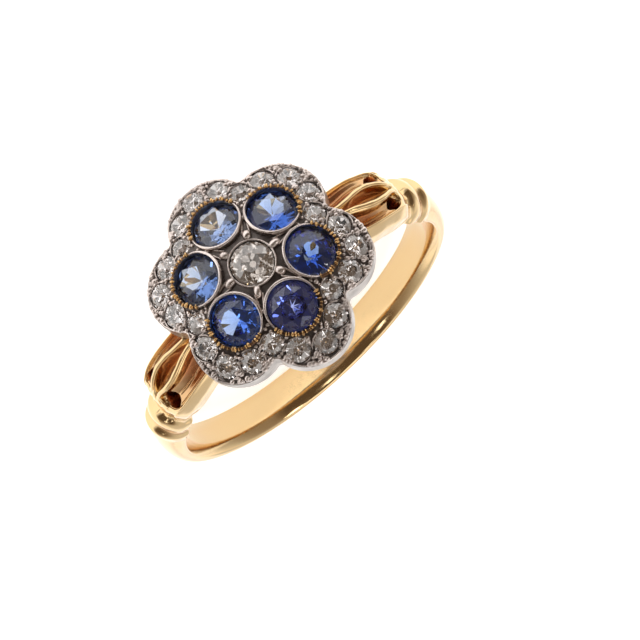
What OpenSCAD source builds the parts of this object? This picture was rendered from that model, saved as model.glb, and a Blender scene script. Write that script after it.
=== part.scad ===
// Cluster ring: a domed silver head with a centre diamond, six sapphires and a
// border of small diamonds, on a gold hoop with ridge collars and carved shoulders.
// Built upright (X shoulder to shoulder, Y along the finger, Z to the head),
// then laid on its side as it rests by itself. Millimetres.

/* [Finger] */
// Inside diameter of the hoop
finger_d = 17.2; // [16.8:0.1:17.6]
// Width of the flat strip inside the hoop
flat_w = 2.2; // [1.8:0.1:2.4]

/* [Hoop] */
// Radius of the two rounded outer edges of the hoop's section
edge_r = 0.73; // [0.7:0.01:0.8]
// Distance of each rounded edge's centre from the middle of the hoop
edge_y = 0.48; // [0.45:0.01:0.6]
// Distance of the section's centre outside the finger wall
mid_out = 0.5; // [0.45:0.01:0.55]
// Radius of the crown across the outside of the hoop
crown_r = 2.2; // [2:0.1:3]
// How far the outside is set towards the head, which makes the back thinner
taper = 0.18; // [0:0.01:0.2]

/* [Collars] */
// Angle of the lower ridge above the hoop's widest point
collar_low = 22.5; // [21:0.5:24]
// Angle of the upper ridge above the hoop's widest point
collar_high = 29; // [28:0.5:30]
// Radius of a ridge about the hoop's own middle line
collar_r = 1.4; // [1.3:0.05:1.5]
// Thickness of a ridge
collar_t = 0.62; // [0.5:0.02:0.7]

/* [Shoulders] */
// Half thickness of each carved rib
rib_half = 0.13; // [0.1:0.01:0.16]
// Radius of the round cup at the foot of each side channel
cup_r = 0.42; // [0.35:0.01:0.5]
// Angle of the cups above the hoop's widest point
cup_angle = 43; // [42:0.5:44]

/* [Head] */
// Radius of the domed top
dome_r = 9.2; // [9:0.1:9.6]
// Height of the top of the dome above the finger's axis
apex_z = 12.8; // [12.7:0.05:13]
// Height of the flat edge under the head above the finger's axis
under_z = 10.2; // [10.1:0.05:10.3]
// Thickness of the dome
plate_t = 1.4; // [1.3:0.05:1.5]
// Distance of each lobe's centre from the head's axis
lobe_at = 3.42; // [3.38:0.01:3.46]
// Radius of each lobe
lobe_r = 2.3; // [2.28:0.01:2.4]
// Distance from the head's axis to the rounded corner in each notch
notch_at = 3.9; // [3.88:0.01:3.94]
// Radius of that rounded corner
notch_r = 0.7; // [0.68:0.01:0.74]
// Angle by which the hand-fitted head is turned on the hoop
head_turn = 0.7; // [0:0.1:2]

/* [Stones] */
// Diameter of the centre diamond
centre_d = 2.2; // [2.1:0.05:2.25]
// Diameter of each sapphire
sapphire_d = 2.5; // [2.4:0.05:2.5]
// Angle of the sapphires down from the top of the dome
sapphire_polar = 18; // [17.8:0.1:18.4]
// Diameter of each border diamond on a lobe
border_d = 1.26; // [1.18:0.01:1.28]
// Diameter of each border diamond in a notch
notch_d = 1.12; // [1.06:0.01:1.14]
// Gap between a stone and its seat
gap = 0.03; // [0.02:0.01:0.04]

/* [Hidden] */
$fn = 96;
ri = finger_d / 2;
mid = ri + mid_out;
dome_z = apex_z - dome_r;
wall_z = under_z - 0.03;
LOBES = 6;
STEP = 360 / LOBES;

// Border rows: [name, angle down from the top, angle aside from the lobe's middle, diameter]
BORDER = [
    ["flank", 30, -15.6, border_d],
    ["tip", 33, 0, border_d],
    ["flank", 30, 15.6, border_d],
    ["notch", 25.4, 30, notch_d]
];
PER_LOBE = len(BORDER);
BORDER_COUNT = PER_LOBE * LOBES;

// Shoulder rows: [angle, rib radius, half width, rib offset, opening depth, channel depth, petal offset, petal drop]
SHOULDER = [
    [33, 9.95, 1.20, 0.16, 0.05, 0.08, 0.90, 0.10],
    [36, 10.35, 1.36, 0.16, 0.08, 0.15, 1.05, 0.12],
    [40, 10.75, 1.52, 0.18, 0.15, 0.55, 1.20, 0.28],
    [44, 11.00, 1.62, 0.24, 0.55, 0.95, 1.32, 0.45],
    [48, 11.10, 1.68, 0.40, 0.95, 0.90, 1.40, 0.60],
    [53, 11.20, 1.68, 0.48, 1.05, 0.85, 1.42, 0.70],
    [58, 11.30, 1.64, 0.44, 1.00, 0.80, 1.38, 0.75],
    [63, 11.35, 1.60, 0.28, 0.70, 0.80, 1.36, 0.80],
    [69, 11.35, 1.56, 0.18, 0.40, 0.80, 1.32, 0.80]
];
SH_ANGLE = 0;
SH_RIB = 1;
SH_HALF = 2;
SH_OFFSET = 3;
SH_OPEN = 4;
SH_CHANNEL = 5;
SH_PETAL = 6;
SH_DROP = 7;
SH_STEPS = 16;
hoop_end = 37;

// The resting pose: the back of the hoop and the edge of one lobe both touch the floor.
back_z = mid - taper;
lobe_y = lobe_at + lobe_r;
lean_reach = norm([lobe_y - edge_y, under_z + back_z]);
lean = acos(edge_r / lean_reach) - atan2(under_z + back_z, lobe_y - edge_y);
floor_at = lobe_y * cos(lean) - under_z * sin(lean);
front_at = dome_z * cos(lean) + dome_r + 0.2;
rear_at = edge_y * sin(lean) + back_z * cos(lean) + edge_r;
rest_y = (front_at - rear_at) / 2;

function two(n) = n < 10 ? str("0", n) : str(n);
SAPPHIRES = [for (i = [1:LOBES]) str("sapphire_", i)];
DIAMONDS = [for (i = [1:BORDER_COUNT]) str("border_diamond_", two(i))];

// Lays the upright ring down: the head faces -Y and leans up, the back of the hoop is at +Y.
module laid() {
    translate([0, rest_y, floor_at])
        rotate([90 - lean, 0, 0])
            rotate([0, 0, 180])
                children();
}

// Puts a stone's frame on the dome: Z along the dome's normal, origin on its surface.
module on_dome(around, down) {
    translate([0, 0, dome_z])
        rotate([0, 0, around + head_turn])
            rotate([0, down, 0])
                translate([0, 0, dome_r])
                    children();
}

function sapphire_at(i) = [STEP / 2 + STEP * (i - 1), sapphire_polar];
function border_row(i) = BORDER[(i - 1) % PER_LOBE];
function border_at(i) = [STEP / 2 + STEP * floor((i - 1) / PER_LOBE) + border_row(i)[2], border_row(i)[1]];

// ---- stones ----

// One ring of corner points of a cut stone
function ring_of(n, r, z, turn) = [for (i = [0:n - 1]) [r * cos(360 * i / n + turn), r * sin(360 * i / n + turn), z]];

// A round stone with eight main facets: table, crown, sixteen-sided girdle, pavilion and small culet.
// Its girdle's upper edge is at z = 0.
module cut_stone(d, table, crown, girdle, pavilion, culet) {
    r = d / 2;
    m = 8;
    pts = concat(
        ring_of(m, r * table, crown, 0),
        ring_of(2 * m, r, 0, 0),
        ring_of(2 * m, r, -girdle, 0),
        ring_of(m, r * culet, -girdle - pavilion, 0)
    );
    a = 0;
    b = m;
    c = 3 * m;
    e = 5 * m;
    faces = concat(
        [[for (i = [m - 1:-1:0]) a + i]],
        [for (i = [0:m - 1]) [a + i, a + (i + 1) % m, b + 2 * i + 1]],
        [for (i = [0:m - 1]) [a + i, b + 2 * i + 1, b + 2 * i]],
        [for (i = [0:m - 1]) [a + (i + 1) % m, b + (2 * i + 2) % (2 * m), b + 2 * i + 1]],
        [for (i = [0:2 * m - 1]) [b + i, b + (i + 1) % (2 * m), c + (i + 1) % (2 * m)]],
        [for (i = [0:2 * m - 1]) [b + i, c + (i + 1) % (2 * m), c + i]],
        [for (i = [0:m - 1]) [e + i, c + 2 * i, c + 2 * i + 1]],
        [for (i = [0:m - 1]) [e + i, c + 2 * i + 1, e + (i + 1) % m]],
        [for (i = [0:m - 1]) [e + (i + 1) % m, c + 2 * i + 1, c + (2 * i + 2) % (2 * m)]],
        [[for (i = [0:m - 1]) e + i]]
    );
    polyhedron(points = pts, faces = faces, convexity = 2);
}

// The open-backed seat that a stone drops into, cut along the dome's normal
module seat(d, sink, girdle, pavilion) {
    r = d / 2;
    hole = r * 0.78;
    slope = pavilion / (r * 0.92);
    rotate_extrude()
        polygon([
            [0, -3], [hole, -3], [hole, -sink - girdle - gap - (r + gap - hole) * slope],
            [r + gap, -sink - girdle - gap], [r + gap, 1], [0, 1]
        ]);
}

module centre_diamond() {
    color("whitesmoke") laid() on_dome(0, 0) translate([0, 0, -0.1])
        cut_stone(centre_d, 0.5, 0.36, 0.06, 0.8, 0.12);
}

module sapphire(i) {
    color("midnightblue") laid() on_dome(sapphire_at(i)[0], sapphire_at(i)[1]) translate([0, 0, -0.12])
        cut_stone(sapphire_d, 0.56, 0.34, 0.07, 0.85, 0.08);
}

module border_diamond(i) {
    color("gainsboro") laid() on_dome(border_at(i)[0], border_at(i)[1]) translate([0, 0, -0.06])
        cut_stone(border_row(i)[3], 0.5, 0.22, 0.04, 0.42, 0.14);
}

// ---- silver head ----

// Six-lobed outline of the head, seen along its axis
module lobed_outline() {
    circle(r = lobe_at + 0.6);
    for (i = [0:LOBES - 1])
        rotate(STEP / 2 + STEP * i + head_turn) {
            translate([lobe_at, 0]) circle(r = lobe_r);
            rotate(STEP / 2) translate([notch_at, 0]) circle(r = notch_r);
        }
}

// A short collar standing round a sapphire
module collar_ring() {
    translate([0, 0, -0.5]) cylinder(r = sapphire_d / 2 + 0.17, h = 0.62);
}

module cluster_mount() {
    color("silver") laid() difference() {
        union() {
            intersection() {
                difference() {
                    translate([0, 0, dome_z]) sphere(r = dome_r);
                    translate([0, 0, dome_z]) sphere(r = dome_r - plate_t);
                }
                translate([0, 0, under_z]) linear_extrude(height = 4) lobed_outline();
            }
            for (i = [1:LOBES]) on_dome(sapphire_at(i)[0], sapphire_at(i)[1]) collar_ring();
        }
        on_dome(0, 0) seat(centre_d, 0.1, 0.06, 0.8);
        for (i = [1:LOBES]) on_dome(sapphire_at(i)[0], sapphire_at(i)[1]) seat(sapphire_d, 0.12, 0.07, 0.85);
        for (i = [1:BORDER_COUNT]) on_dome(border_at(i)[0], border_at(i)[1]) seat(border_row(i)[3], 0.06, 0.04, 0.42);
    }
}

// ---- gold shank ----

// Rounded D section of the hoop, before the finger's wall is cut
module hoop_section() {
    intersection() {
        union() {
            translate([mid, edge_y]) circle(r = edge_r);
            translate([mid, -edge_y]) circle(r = edge_r);
            translate([mid - edge_r, -edge_y]) square([2 * edge_r, 2 * edge_y]);
        }
        translate([mid + edge_r - crown_r, 0]) circle(r = crown_r);
    }
}

module hoop() {
    translate([0, 0, taper]) rotate([90, 0, 0]) rotate_extrude() hoop_section();
}

// A ridge collar round the hoop, with a rounded edge
module ridge(angle) {
    rotate([0, -angle, 0]) translate([ri + 0.25, 0, 0])
        rotate_extrude() {
            translate([0, -collar_t / 2]) square([collar_r - collar_t / 2, collar_t]);
            translate([collar_r - collar_t / 2, 0]) circle(r = collar_t / 2);
        }
}

function sh(angle, k) = lookup(angle, [for (row = SHOULDER) [row[SH_ANGLE], row[k]]]);

// One side of a shoulder's section, from the middle outward: [across, radius]
function sh_side(t) = let (
    top = sh(t, SH_RIB), half = sh(t, SH_HALF), rib = sh(t, SH_OFFSET),
    petal = sh(t, SH_PETAL), lip = top - sh(t, SH_DROP)
) [
    [rib - rib_half, top - 0.06], [rib, top], [rib + rib_half, top - 0.06],
    [(rib + petal) / 2, top - sh(t, SH_CHANNEL)],
    [petal - 0.1, lip - 0.06], [petal, lip], [petal + 0.1, lip - 0.1],
    [half + 0.08, (lip + ri) / 2 + 0.2], [half, ri + 0.35], [half - 0.7, ri - 0.35]
];
function sh_section(t) = let (s = sh_side(t), n = len(s)) concat(
    [for (i = [n - 1:-1:0]) [-s[i][0], s[i][1]]],
    [[0, sh(t, SH_RIB) - sh(t, SH_OPEN)]],
    s,
    [[0, ri - 0.7]]
);

// A carved shoulder as one loft round the hoop's curve
module shoulder() {
    t0 = SHOULDER[0][SH_ANGLE];
    t1 = SHOULDER[len(SHOULDER) - 1][SH_ANGLE];
    angles = [for (k = [0:SH_STEPS]) t0 + (t1 - t0) * k / SH_STEPS];
    n = len(sh_section(t0));
    body = [for (t = angles) for (p = sh_section(t)) [p[1] * cos(t), p[0], p[1] * sin(t)]];
    // both ends are slightly pointed, round a middle corner
    ends = [for (t = [t0 - 2, t1 + 2]) [(ri + 0.4) * cos(t), 0, (ri + 0.4) * sin(t)]];
    e = len(body);
    faces = concat(
        [for (k = [0:SH_STEPS - 1]) for (j = [0:n - 1]) [k * n + j, (k + 1) * n + (j + 1) % n, k * n + (j + 1) % n]],
        [for (k = [0:SH_STEPS - 1]) for (j = [0:n - 1]) [k * n + j, (k + 1) * n + j, (k + 1) * n + (j + 1) % n]],
        [for (j = [0:n - 1]) [e, j, (j + 1) % n]],
        [for (j = [0:n - 1]) [e + 1, SH_STEPS * n + (j + 1) % n, SH_STEPS * n + j]]
    );
    difference() {
        polyhedron(points = concat(body, ends), faces = faces, convexity = 6);
        for (y = [-1, 1])
            rotate([0, -cup_angle, 0]) translate([sh(cup_angle, SH_RIB), y * 0.82, 0]) sphere(r = cup_r);
        // the ribs and petals end at the head's flat edge
        translate([-15, -15, wall_z]) cube([30, 30, 10]);
    }
}

// Plain tapered ring under the head
module gallery() {
    rotate_extrude()
        polygon([[3.55, ri + 0.45], [4.0, ri + 0.45], [4.5, wall_z], [4.2, wall_z]]);
}

// Hoop and ridges, with eased inner edges, ending inside the foot of each shoulder
module hoop_and_ridges() {
    difference() {
        union() {
            difference() {
                hoop();
                rotate([90, 0, 0]) linear_extrude(height = 8, center = true)
                    polygon([[0, 0], [20 * cos(hoop_end), 20 * sin(hoop_end)], [0, 30], [-20 * cos(hoop_end), 20 * sin(hoop_end)]]);
            }
            for (side = [0, 1]) mirror([side, 0, 0]) {
                ridge(collar_low);
                ridge(collar_high);
            }
        }
        for (s = [-1, 1]) rotate([s * 90, 0, 0]) rotate_extrude()
            polygon([[ri - 1, flat_w / 2 - 0.3], [ri - 0.3, flat_w / 2 - 0.3], [ri + 0.3, flat_w / 2 + 0.3], [ri + 0.3, 4], [ri - 1, 4]]);
    }
}

module shank() {
    color("goldenrod") laid() difference() {
        union() {
            hoop_and_ridges();
            gallery();
            for (side = [0, 1]) mirror([side, 0, 0]) shoulder();
        }
        rotate([90, 0, 0]) cylinder(r = ri, h = 20, center = true);
    }
}

shank();
cluster_mount();
centre_diamond();
for (i = [1:LOBES]) sapphire(i);
for (i = [1:BORDER_COUNT]) border_diamond(i);
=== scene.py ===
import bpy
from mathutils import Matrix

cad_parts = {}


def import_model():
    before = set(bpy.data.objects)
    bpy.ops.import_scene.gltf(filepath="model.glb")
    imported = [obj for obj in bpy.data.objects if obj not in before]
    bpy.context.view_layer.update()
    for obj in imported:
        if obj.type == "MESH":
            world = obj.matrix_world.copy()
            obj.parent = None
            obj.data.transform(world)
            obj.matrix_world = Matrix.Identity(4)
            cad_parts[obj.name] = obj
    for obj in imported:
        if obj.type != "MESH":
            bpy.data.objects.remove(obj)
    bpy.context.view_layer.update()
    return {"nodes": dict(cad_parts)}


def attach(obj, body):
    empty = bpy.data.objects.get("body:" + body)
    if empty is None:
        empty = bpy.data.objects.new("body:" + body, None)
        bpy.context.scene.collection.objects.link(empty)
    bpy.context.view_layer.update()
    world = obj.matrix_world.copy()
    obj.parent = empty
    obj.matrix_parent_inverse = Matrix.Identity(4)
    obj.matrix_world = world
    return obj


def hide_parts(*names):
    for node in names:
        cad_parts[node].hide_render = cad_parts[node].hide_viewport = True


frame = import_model()

import math

import bpy
import numpy as np
from mathutils import Matrix

# ---------------------------------------------------------------- the ring's own frame
# X from shoulder to shoulder, Y along the finger, Z to the head, in millimetres.
# world() lays it on its side in metres, by the same rule as the CAD model.
RI = 8.6
MID_OUT, EDGE_R, EDGE_Y, TAPER = 0.5, 0.73, 0.48, 0.18
DOME_R, APEX, UNDER_Z = 9.2, 12.8, 10.2
DOME_Z = APEX - DOME_R
WALL_Z = UNDER_Z - 0.03
LOBE_AT, LOBE_R, NOTCH_AT, NOTCH_R = 3.42, 2.3, 3.9, 0.7
TURN = 0.7
CENTRE_D, SAPPHIRE_D, SAPPHIRE_POLAR = 2.2, 2.5, 18.0
BORDER = [(-15.6, 30.0, 1.26), (0.0, 33.0, 1.26), (15.6, 30.0, 1.26), (30.0, 25.4, 1.12)]

back_z = RI + MID_OUT - TAPER
lobe_y = LOBE_AT + LOBE_R
LEAN = math.acos(EDGE_R / math.hypot(lobe_y - EDGE_Y, UNDER_Z + back_z)) - math.atan2(UNDER_Z + back_z, lobe_y - EDGE_Y)
SA, CA = math.sin(LEAN), math.cos(LEAN)
FLOOR_AT = lobe_y * CA - UNDER_Z * SA
REST_Y = ((DOME_Z * CA + DOME_R + 0.2) - (EDGE_Y * SA + back_z * CA + EDGE_R)) / 2


def turn_vec(v):
    v = np.asarray(v, float)
    return np.stack([-v[..., 0], -SA * v[..., 1] - CA * v[..., 2], -CA * v[..., 1] + SA * v[..., 2]], -1)


def world(p):
    return (turn_vec(p) + np.array([0.0, REST_Y, FLOOR_AT])) / 1000.0


# ---------------------------------------------------------------- camera
VIEW = np.array([
    [0.738907, -0.651954, -0.170211],
    [0.672961, 0.701388, 0.234900],
    [-0.033760, -0.288115, 0.957000],
])
u_, _, v_ = np.linalg.svd(VIEW)
VIEW = u_ @ v_
CAM_AT = VIEW.T @ np.array([1.08283, 0.27055, 119.1467])
cam_data = bpy.data.cameras.new("camera")
cam_data.sensor_width = 36.0
cam_data.lens = 2226.26 / 640 * 36.0
cam_data.clip_start = 0.005
cam_data.clip_end = 20.0
camera = bpy.data.objects.new("camera", cam_data)
bpy.context.scene.collection.objects.link(camera)
axes = turn_vec(VIEW)
place = np.eye(4)
place[:3, 0], place[:3, 1], place[:3, 2] = axes[0], axes[1], axes[2]
place[:3, 3] = world(CAM_AT)
camera.matrix_world = Matrix(place.tolist())
bpy.context.scene.camera = camera

# ---------------------------------------------------------------- mesh helpers


def outward(verts, faces):
    """Turns the faces of a closed mesh so that they look outward."""
    total = 0.0
    for f in faces:
        for k in range(1, f.shape[1] - 1):
            a, b, c = verts[f[:, 0]], verts[f[:, k]], verts[f[:, k + 1]]
            total += np.einsum("ij,ij->i", a, np.cross(b, c)).sum()
    return [f[:, ::-1] for f in faces] if total < 0 else faces


def add_piece(name, verts, faces, material, smooth=True, values=None):
    verts = world(verts)
    faces = outward(verts, [np.asarray(f) for f in faces if len(f)])
    mesh = bpy.data.meshes.new(name)
    listed = []
    for f in faces:
        listed += f.tolist()
    mesh.from_pydata(verts.tolist(), [], listed)
    mesh.polygons.foreach_set("use_smooth", np.full(len(listed), bool(smooth)))
    for key, v in (values or {}).items():
        mesh.attributes.new(key, "FLOAT", "POINT").data.foreach_set("value", np.asarray(v, np.float32))
    mesh.materials.append(material)
    mesh.update()
    piece = bpy.data.objects.new(name, mesh)
    bpy.context.scene.collection.objects.link(piece)
    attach(piece, "root")
    return piece


def skin(rings, loop=False, caps=True):
    """Quads over rings of points (n, m, 3); each ring is closed."""
    n, m = rings.shape[:2]
    verts = rings.reshape(-1, 3)
    i = np.arange(n if loop else n - 1)[:, None]
    j = np.arange(m)[None, :]
    nxt = (i + 1) % n
    quads = np.stack([i * m + j, i * m + (j + 1) % m, nxt * m + (j + 1) % m, nxt * m + j], -1).reshape(-1, 4)
    faces = [quads]
    if caps and not loop:
        verts = np.concatenate([verts, rings[0].mean(0)[None], rings[-1].mean(0)[None]])
        k = np.arange(m)
        a, b = n * m, n * m + 1
        faces.append(np.stack([np.full(m, a), (k + 1) % m, k], 1))
        faces.append(np.stack([np.full(m, b), (n - 1) * m + k, (n - 1) * m + (k + 1) % m], 1))
    return verts, faces


def joined(parts):
    """Joins (verts, faces) pairs into one."""
    vs, fs, at = [], {}, 0
    for v, faces in parts:
        vs.append(v)
        for f in faces:
            fs.setdefault(f.shape[1], []).append(f + at)
        at += len(v)
    return np.concatenate(vs), [np.concatenate(f) for f in fs.values()]


def gauss(a, sigma, axis=0, wrap=False):
    k = int(max(1, round(sigma * 3)))
    w = np.exp(-0.5 * (np.arange(-k, k + 1) / sigma) ** 2)
    w /= w.sum()
    pad = [(0, 0)] * a.ndim
    pad[axis] = (k, k)
    b = np.pad(a, pad, mode="wrap" if wrap else "edge")
    return np.apply_along_axis(lambda x: np.convolve(x, w, "valid"), axis, b)


def smoothstep(a, b, x):
    t = np.clip((np.asarray(x, float) - a) / (b - a), 0, 1)
    return t * t * (3 - 2 * t)


def ball(subdivisions=2):
    """A unit geodesic ball."""
    g = (1 + 5 ** 0.5) / 2
    v = [(-1, g, 0), (1, g, 0), (-1, -g, 0), (1, -g, 0), (0, -1, g), (0, 1, g), (0, -1, -g), (0, 1, -g),
         (g, 0, -1), (g, 0, 1), (-g, 0, -1), (-g, 0, 1)]
    f = [(0, 11, 5), (0, 5, 1), (0, 1, 7), (0, 7, 10), (0, 10, 11), (1, 5, 9), (5, 11, 4), (11, 10, 2), (10, 7, 6),
         (7, 1, 8), (3, 9, 4), (3, 4, 2), (3, 2, 6), (3, 6, 8), (3, 8, 9), (4, 9, 5), (2, 4, 11), (6, 2, 10),
         (8, 6, 7), (9, 8, 1)]
    v = [np.array(p, float) / np.linalg.norm(p) for p in v]
    for _ in range(subdivisions):
        mids, new = {}, []
        for a, b, c in f:
            ids = []
            for p, q in ((a, b), (b, c), (c, a)):
                key = (min(p, q), max(p, q))
                if key not in mids:
                    m = v[p] + v[q]
                    v.append(m / np.linalg.norm(m))
                    mids[key] = len(v) - 1
                ids.append(mids[key])
            new += [(a, ids[0], ids[2]), (b, ids[1], ids[0]), (c, ids[2], ids[1]), (ids[0], ids[1], ids[2])]
        f = new
    return np.array(v), np.array(f)


BALL_V, BALL_F = ball(2)


def dome_frame(az, polar, turned=True):
    """Origin on the dome and its local axes: outward along the dome, around, normal."""
    a, p = math.radians(az + (TURN if turned else 0)), math.radians(polar)
    n = np.array([math.sin(p) * math.cos(a), math.sin(p) * math.sin(a), math.cos(p)])
    e1 = np.array([math.cos(p) * math.cos(a), math.cos(p) * math.sin(a), -math.sin(p)])
    e2 = np.array([-math.sin(a), math.cos(a), 0.0])
    return np.array([0, 0, DOME_Z]) + DOME_R * n, np.stack([e1, e2, n])


def put(local, frame_):
    o, m = frame_
    return o + np.asarray(local, float) @ m


# ---------------------------------------------------------------- materials


def nodes_of(name):
    mat = bpy.data.materials.new(name)
    mat.use_nodes = True
    nt = mat.node_tree
    shader = nt.nodes["Principled BSDF"]
    return mat, nt, shader


def mix_colour(nt, factor, a, b, blend="MIX"):
    n = nt.nodes.new("ShaderNodeMix")
    n.data_type = "RGBA"
    n.blend_type = blend
    for socket, v in ((n.inputs[0], factor), (n.inputs[6], a), (n.inputs[7], b)):
        if isinstance(v, (int, float)):
            socket.default_value = v
        elif isinstance(v, tuple):
            socket.default_value = v
        else:
            nt.links.new(v, socket)
    return n.outputs[2]


def noise(nt, scale, detail=3.0, rough=0.55, stretch=None):
    tc = nt.nodes.new("ShaderNodeTexCoord")
    n = nt.nodes.new("ShaderNodeTexNoise")
    n.inputs["Scale"].default_value = scale
    n.inputs["Detail"].default_value = detail
    n.inputs["Roughness"].default_value = rough
    if stretch:
        m = nt.nodes.new("ShaderNodeMapping")
        m.inputs["Scale"].default_value = stretch[0]
        m.inputs["Rotation"].default_value = stretch[1]
        nt.links.new(tc.outputs["Object"], m.inputs["Vector"])
        nt.links.new(m.outputs["Vector"], n.inputs["Vector"])
    else:
        nt.links.new(tc.outputs["Object"], n.inputs["Vector"])
    return n.outputs["Fac"]


def remap(nt, value, a, b, c, d, smooth=False):
    n = nt.nodes.new("ShaderNodeMapRange")
    if smooth:
        n.interpolation_type = "SMOOTHSTEP"
    for k, v in zip(("From Min", "From Max", "To Min", "To Max"), (a, b, c, d)):
        n.inputs[k].default_value = v
    nt.links.new(value, n.inputs["Value"])
    return n.outputs["Result"]


def maths(nt, op, a, b):
    n = nt.nodes.new("ShaderNodeMath")
    n.operation = op
    for socket, v in ((n.inputs[0], a), (n.inputs[1], b)):
        if isinstance(v, (int, float)):
            socket.default_value = v
        else:
            nt.links.new(v, socket)
    return n.outputs[0]


def bump(nt, height, strength, distance):
    n = nt.nodes.new("ShaderNodeBump")
    n.inputs["Strength"].default_value = strength
    n.inputs["Distance"].default_value = distance
    nt.links.new(height, n.inputs["Height"])
    return n.outputs["Normal"]


def attribute(nt, name):
    n = nt.nodes.new("ShaderNodeAttribute")
    n.attribute_name = name
    return n.outputs["Fac"]


def gold(name, bright, deep, low=0.13, high=0.24, scratch=0.25):
    mat, nt, p = nodes_of(name)
    p.inputs["Metallic"].default_value = 1.0
    p.inputs["Coat Weight"].default_value = 0.35
    p.inputs["Coat Roughness"].default_value = 0.10
    broad = noise(nt, 260.0, 3.0)
    fine = noise(nt, 2600.0, 4.0)
    # painted shade, with some patina: this vertex attribute mixes the base colour toward deep, the painted shade colour
    # of the hollows
    cavity = attribute(nt, "cavity")
    body = mix_colour(nt, remap(nt, broad, 0.3, 0.7, 0.0, 0.35), bright, tuple(0.93 * c for c in bright[:3]) + (1.0,))
    tone = mix_colour(nt, maths(nt, "MULTIPLY", cavity, remap(nt, fine, 0.3, 0.7, 0.9, 1.0)), body, deep)
    # past 1, as in the cups, the colour is painted darker still as deeper shade
    tone = mix_colour(nt, maths(nt, "SUBTRACT", cavity, 1.0), tone, tuple(0.30 * c for c in deep[:3]) + (1.0,))
    nt.links.new(tone, p.inputs["Base Color"])
    hair = noise(nt, 420.0, 6.0, 0.7, ((1.0, 14.0, 3.0), (0.4, 0.2, 0.9)))
    hair2 = noise(nt, 520.0, 6.0, 0.7, ((12.0, 1.0, 5.0), (0.1, 0.7, 0.3)))
    scratches = maths(nt, "ADD", hair, hair2)
    rough = maths(nt, "ADD", remap(nt, scratches, 0.75, 1.3, low, high), maths(nt, "MULTIPLY", cavity, 0.10))
    nt.links.new(rough, p.inputs["Roughness"])
    nt.links.new(bump(nt, maths(nt, "ADD", scratches, maths(nt, "MULTIPLY", broad, 0.6)), scratch, 0.000012), p.inputs["Normal"])
    return mat


def silver(name, bright, dark, low=0.2, high=0.36, head_top=0.0):
    """head_top: how much darker the faces that look along the head's axis are made."""
    mat, nt, p = nodes_of(name)
    p.inputs["Metallic"].default_value = 1.0
    patch = noise(nt, 900.0, 5.0, 0.62)
    fine = noise(nt, 5200.0, 4.0)
    tarnish_and_shade = maths(nt, "MULTIPLY", remap(nt, patch, 0.42, 0.66, 0.0, 1.0, True), 0.3)
    # painted shade, with some patina, from the hollow attribute, where a piece has one, adds to the random tarnish
    tarnish_and_shade = maths(nt, "ADD", tarnish_and_shade, attribute(nt, "cavity"))
    if head_top:
        geo = nt.nodes.new("ShaderNodeNewGeometry")
        dot = nt.nodes.new("ShaderNodeVectorMath")
        dot.operation = "DOT_PRODUCT"
        nt.links.new(geo.outputs["True Normal"], dot.inputs[0])
        dot.inputs[1].default_value = [float(x) for x in turn_vec((0, 0, 1.0))]
        top = remap(nt, dot.outputs["Value"], 0.45, 0.65, 0.0, head_top, True)
        tarnish_and_shade = maths(nt, "MAXIMUM", tarnish_and_shade, maths(nt, "MULTIPLY", top, remap(nt, patch, 0.3, 0.66, 1.0, 0.80)))
    tarnish_n = nt.nodes.new("ShaderNodeClamp")
    nt.links.new(tarnish_and_shade, tarnish_n.inputs["Value"])
    tarnish_and_shade = tarnish_n.outputs["Result"]
    tone = mix_colour(nt, tarnish_and_shade, bright, dark)
    tone = mix_colour(nt, remap(nt, fine, 0.35, 0.75, 0.0, 0.22), tone, tuple(0.7 * c for c in bright[:3]) + (1.0,), "MULTIPLY")
    nt.links.new(tone, p.inputs["Base Color"])
    hair = noise(nt, 700.0, 6.0, 0.7, ((1.0, 9.0, 3.0), (0.9, 0.2, 0.5)))
    rough = maths(nt, "ADD", remap(nt, hair, 0.35, 0.65, low, high), maths(nt, "MULTIPLY", tarnish_and_shade, 0.2))
    nt.links.new(rough, p.inputs["Roughness"])
    nt.links.new(bump(nt, maths(nt, "ADD", patch, maths(nt, "MULTIPLY", hair, 0.5)), 0.35, 0.00002), p.inputs["Normal"])
    return mat


def gem(name, colour, ior, absorb=None, density=0.0, rough=0.0, sheen=0.5):
    mat, nt, p = nodes_of(name)
    p.inputs["Transmission Weight"].default_value = 1.0
    p.inputs["IOR"].default_value = ior
    p.inputs["Roughness"].default_value = rough
    p.inputs["Specular IOR Level"].default_value = sheen
    broad = noise(nt, 700.0, 2.0)
    tone = mix_colour(nt, remap(nt, broad, 0.3, 0.7, 0.0, 1.0), colour, tuple(0.86 * c for c in colour[:3]) + (1.0,))
    nt.links.new(tone, p.inputs["Base Color"])
    if absorb:
        v = nt.nodes.new("ShaderNodeVolumeAbsorption")
        v.inputs["Color"].default_value = absorb
        v.inputs["Density"].default_value = density
        out = next(n for n in nt.nodes if n.type == "OUTPUT_MATERIAL")
        nt.links.new(v.outputs["Volume"], out.inputs["Volume"])
    return mat


# the second colour of each gold is its painted shade colour, with some patina, for the hollows
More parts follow.
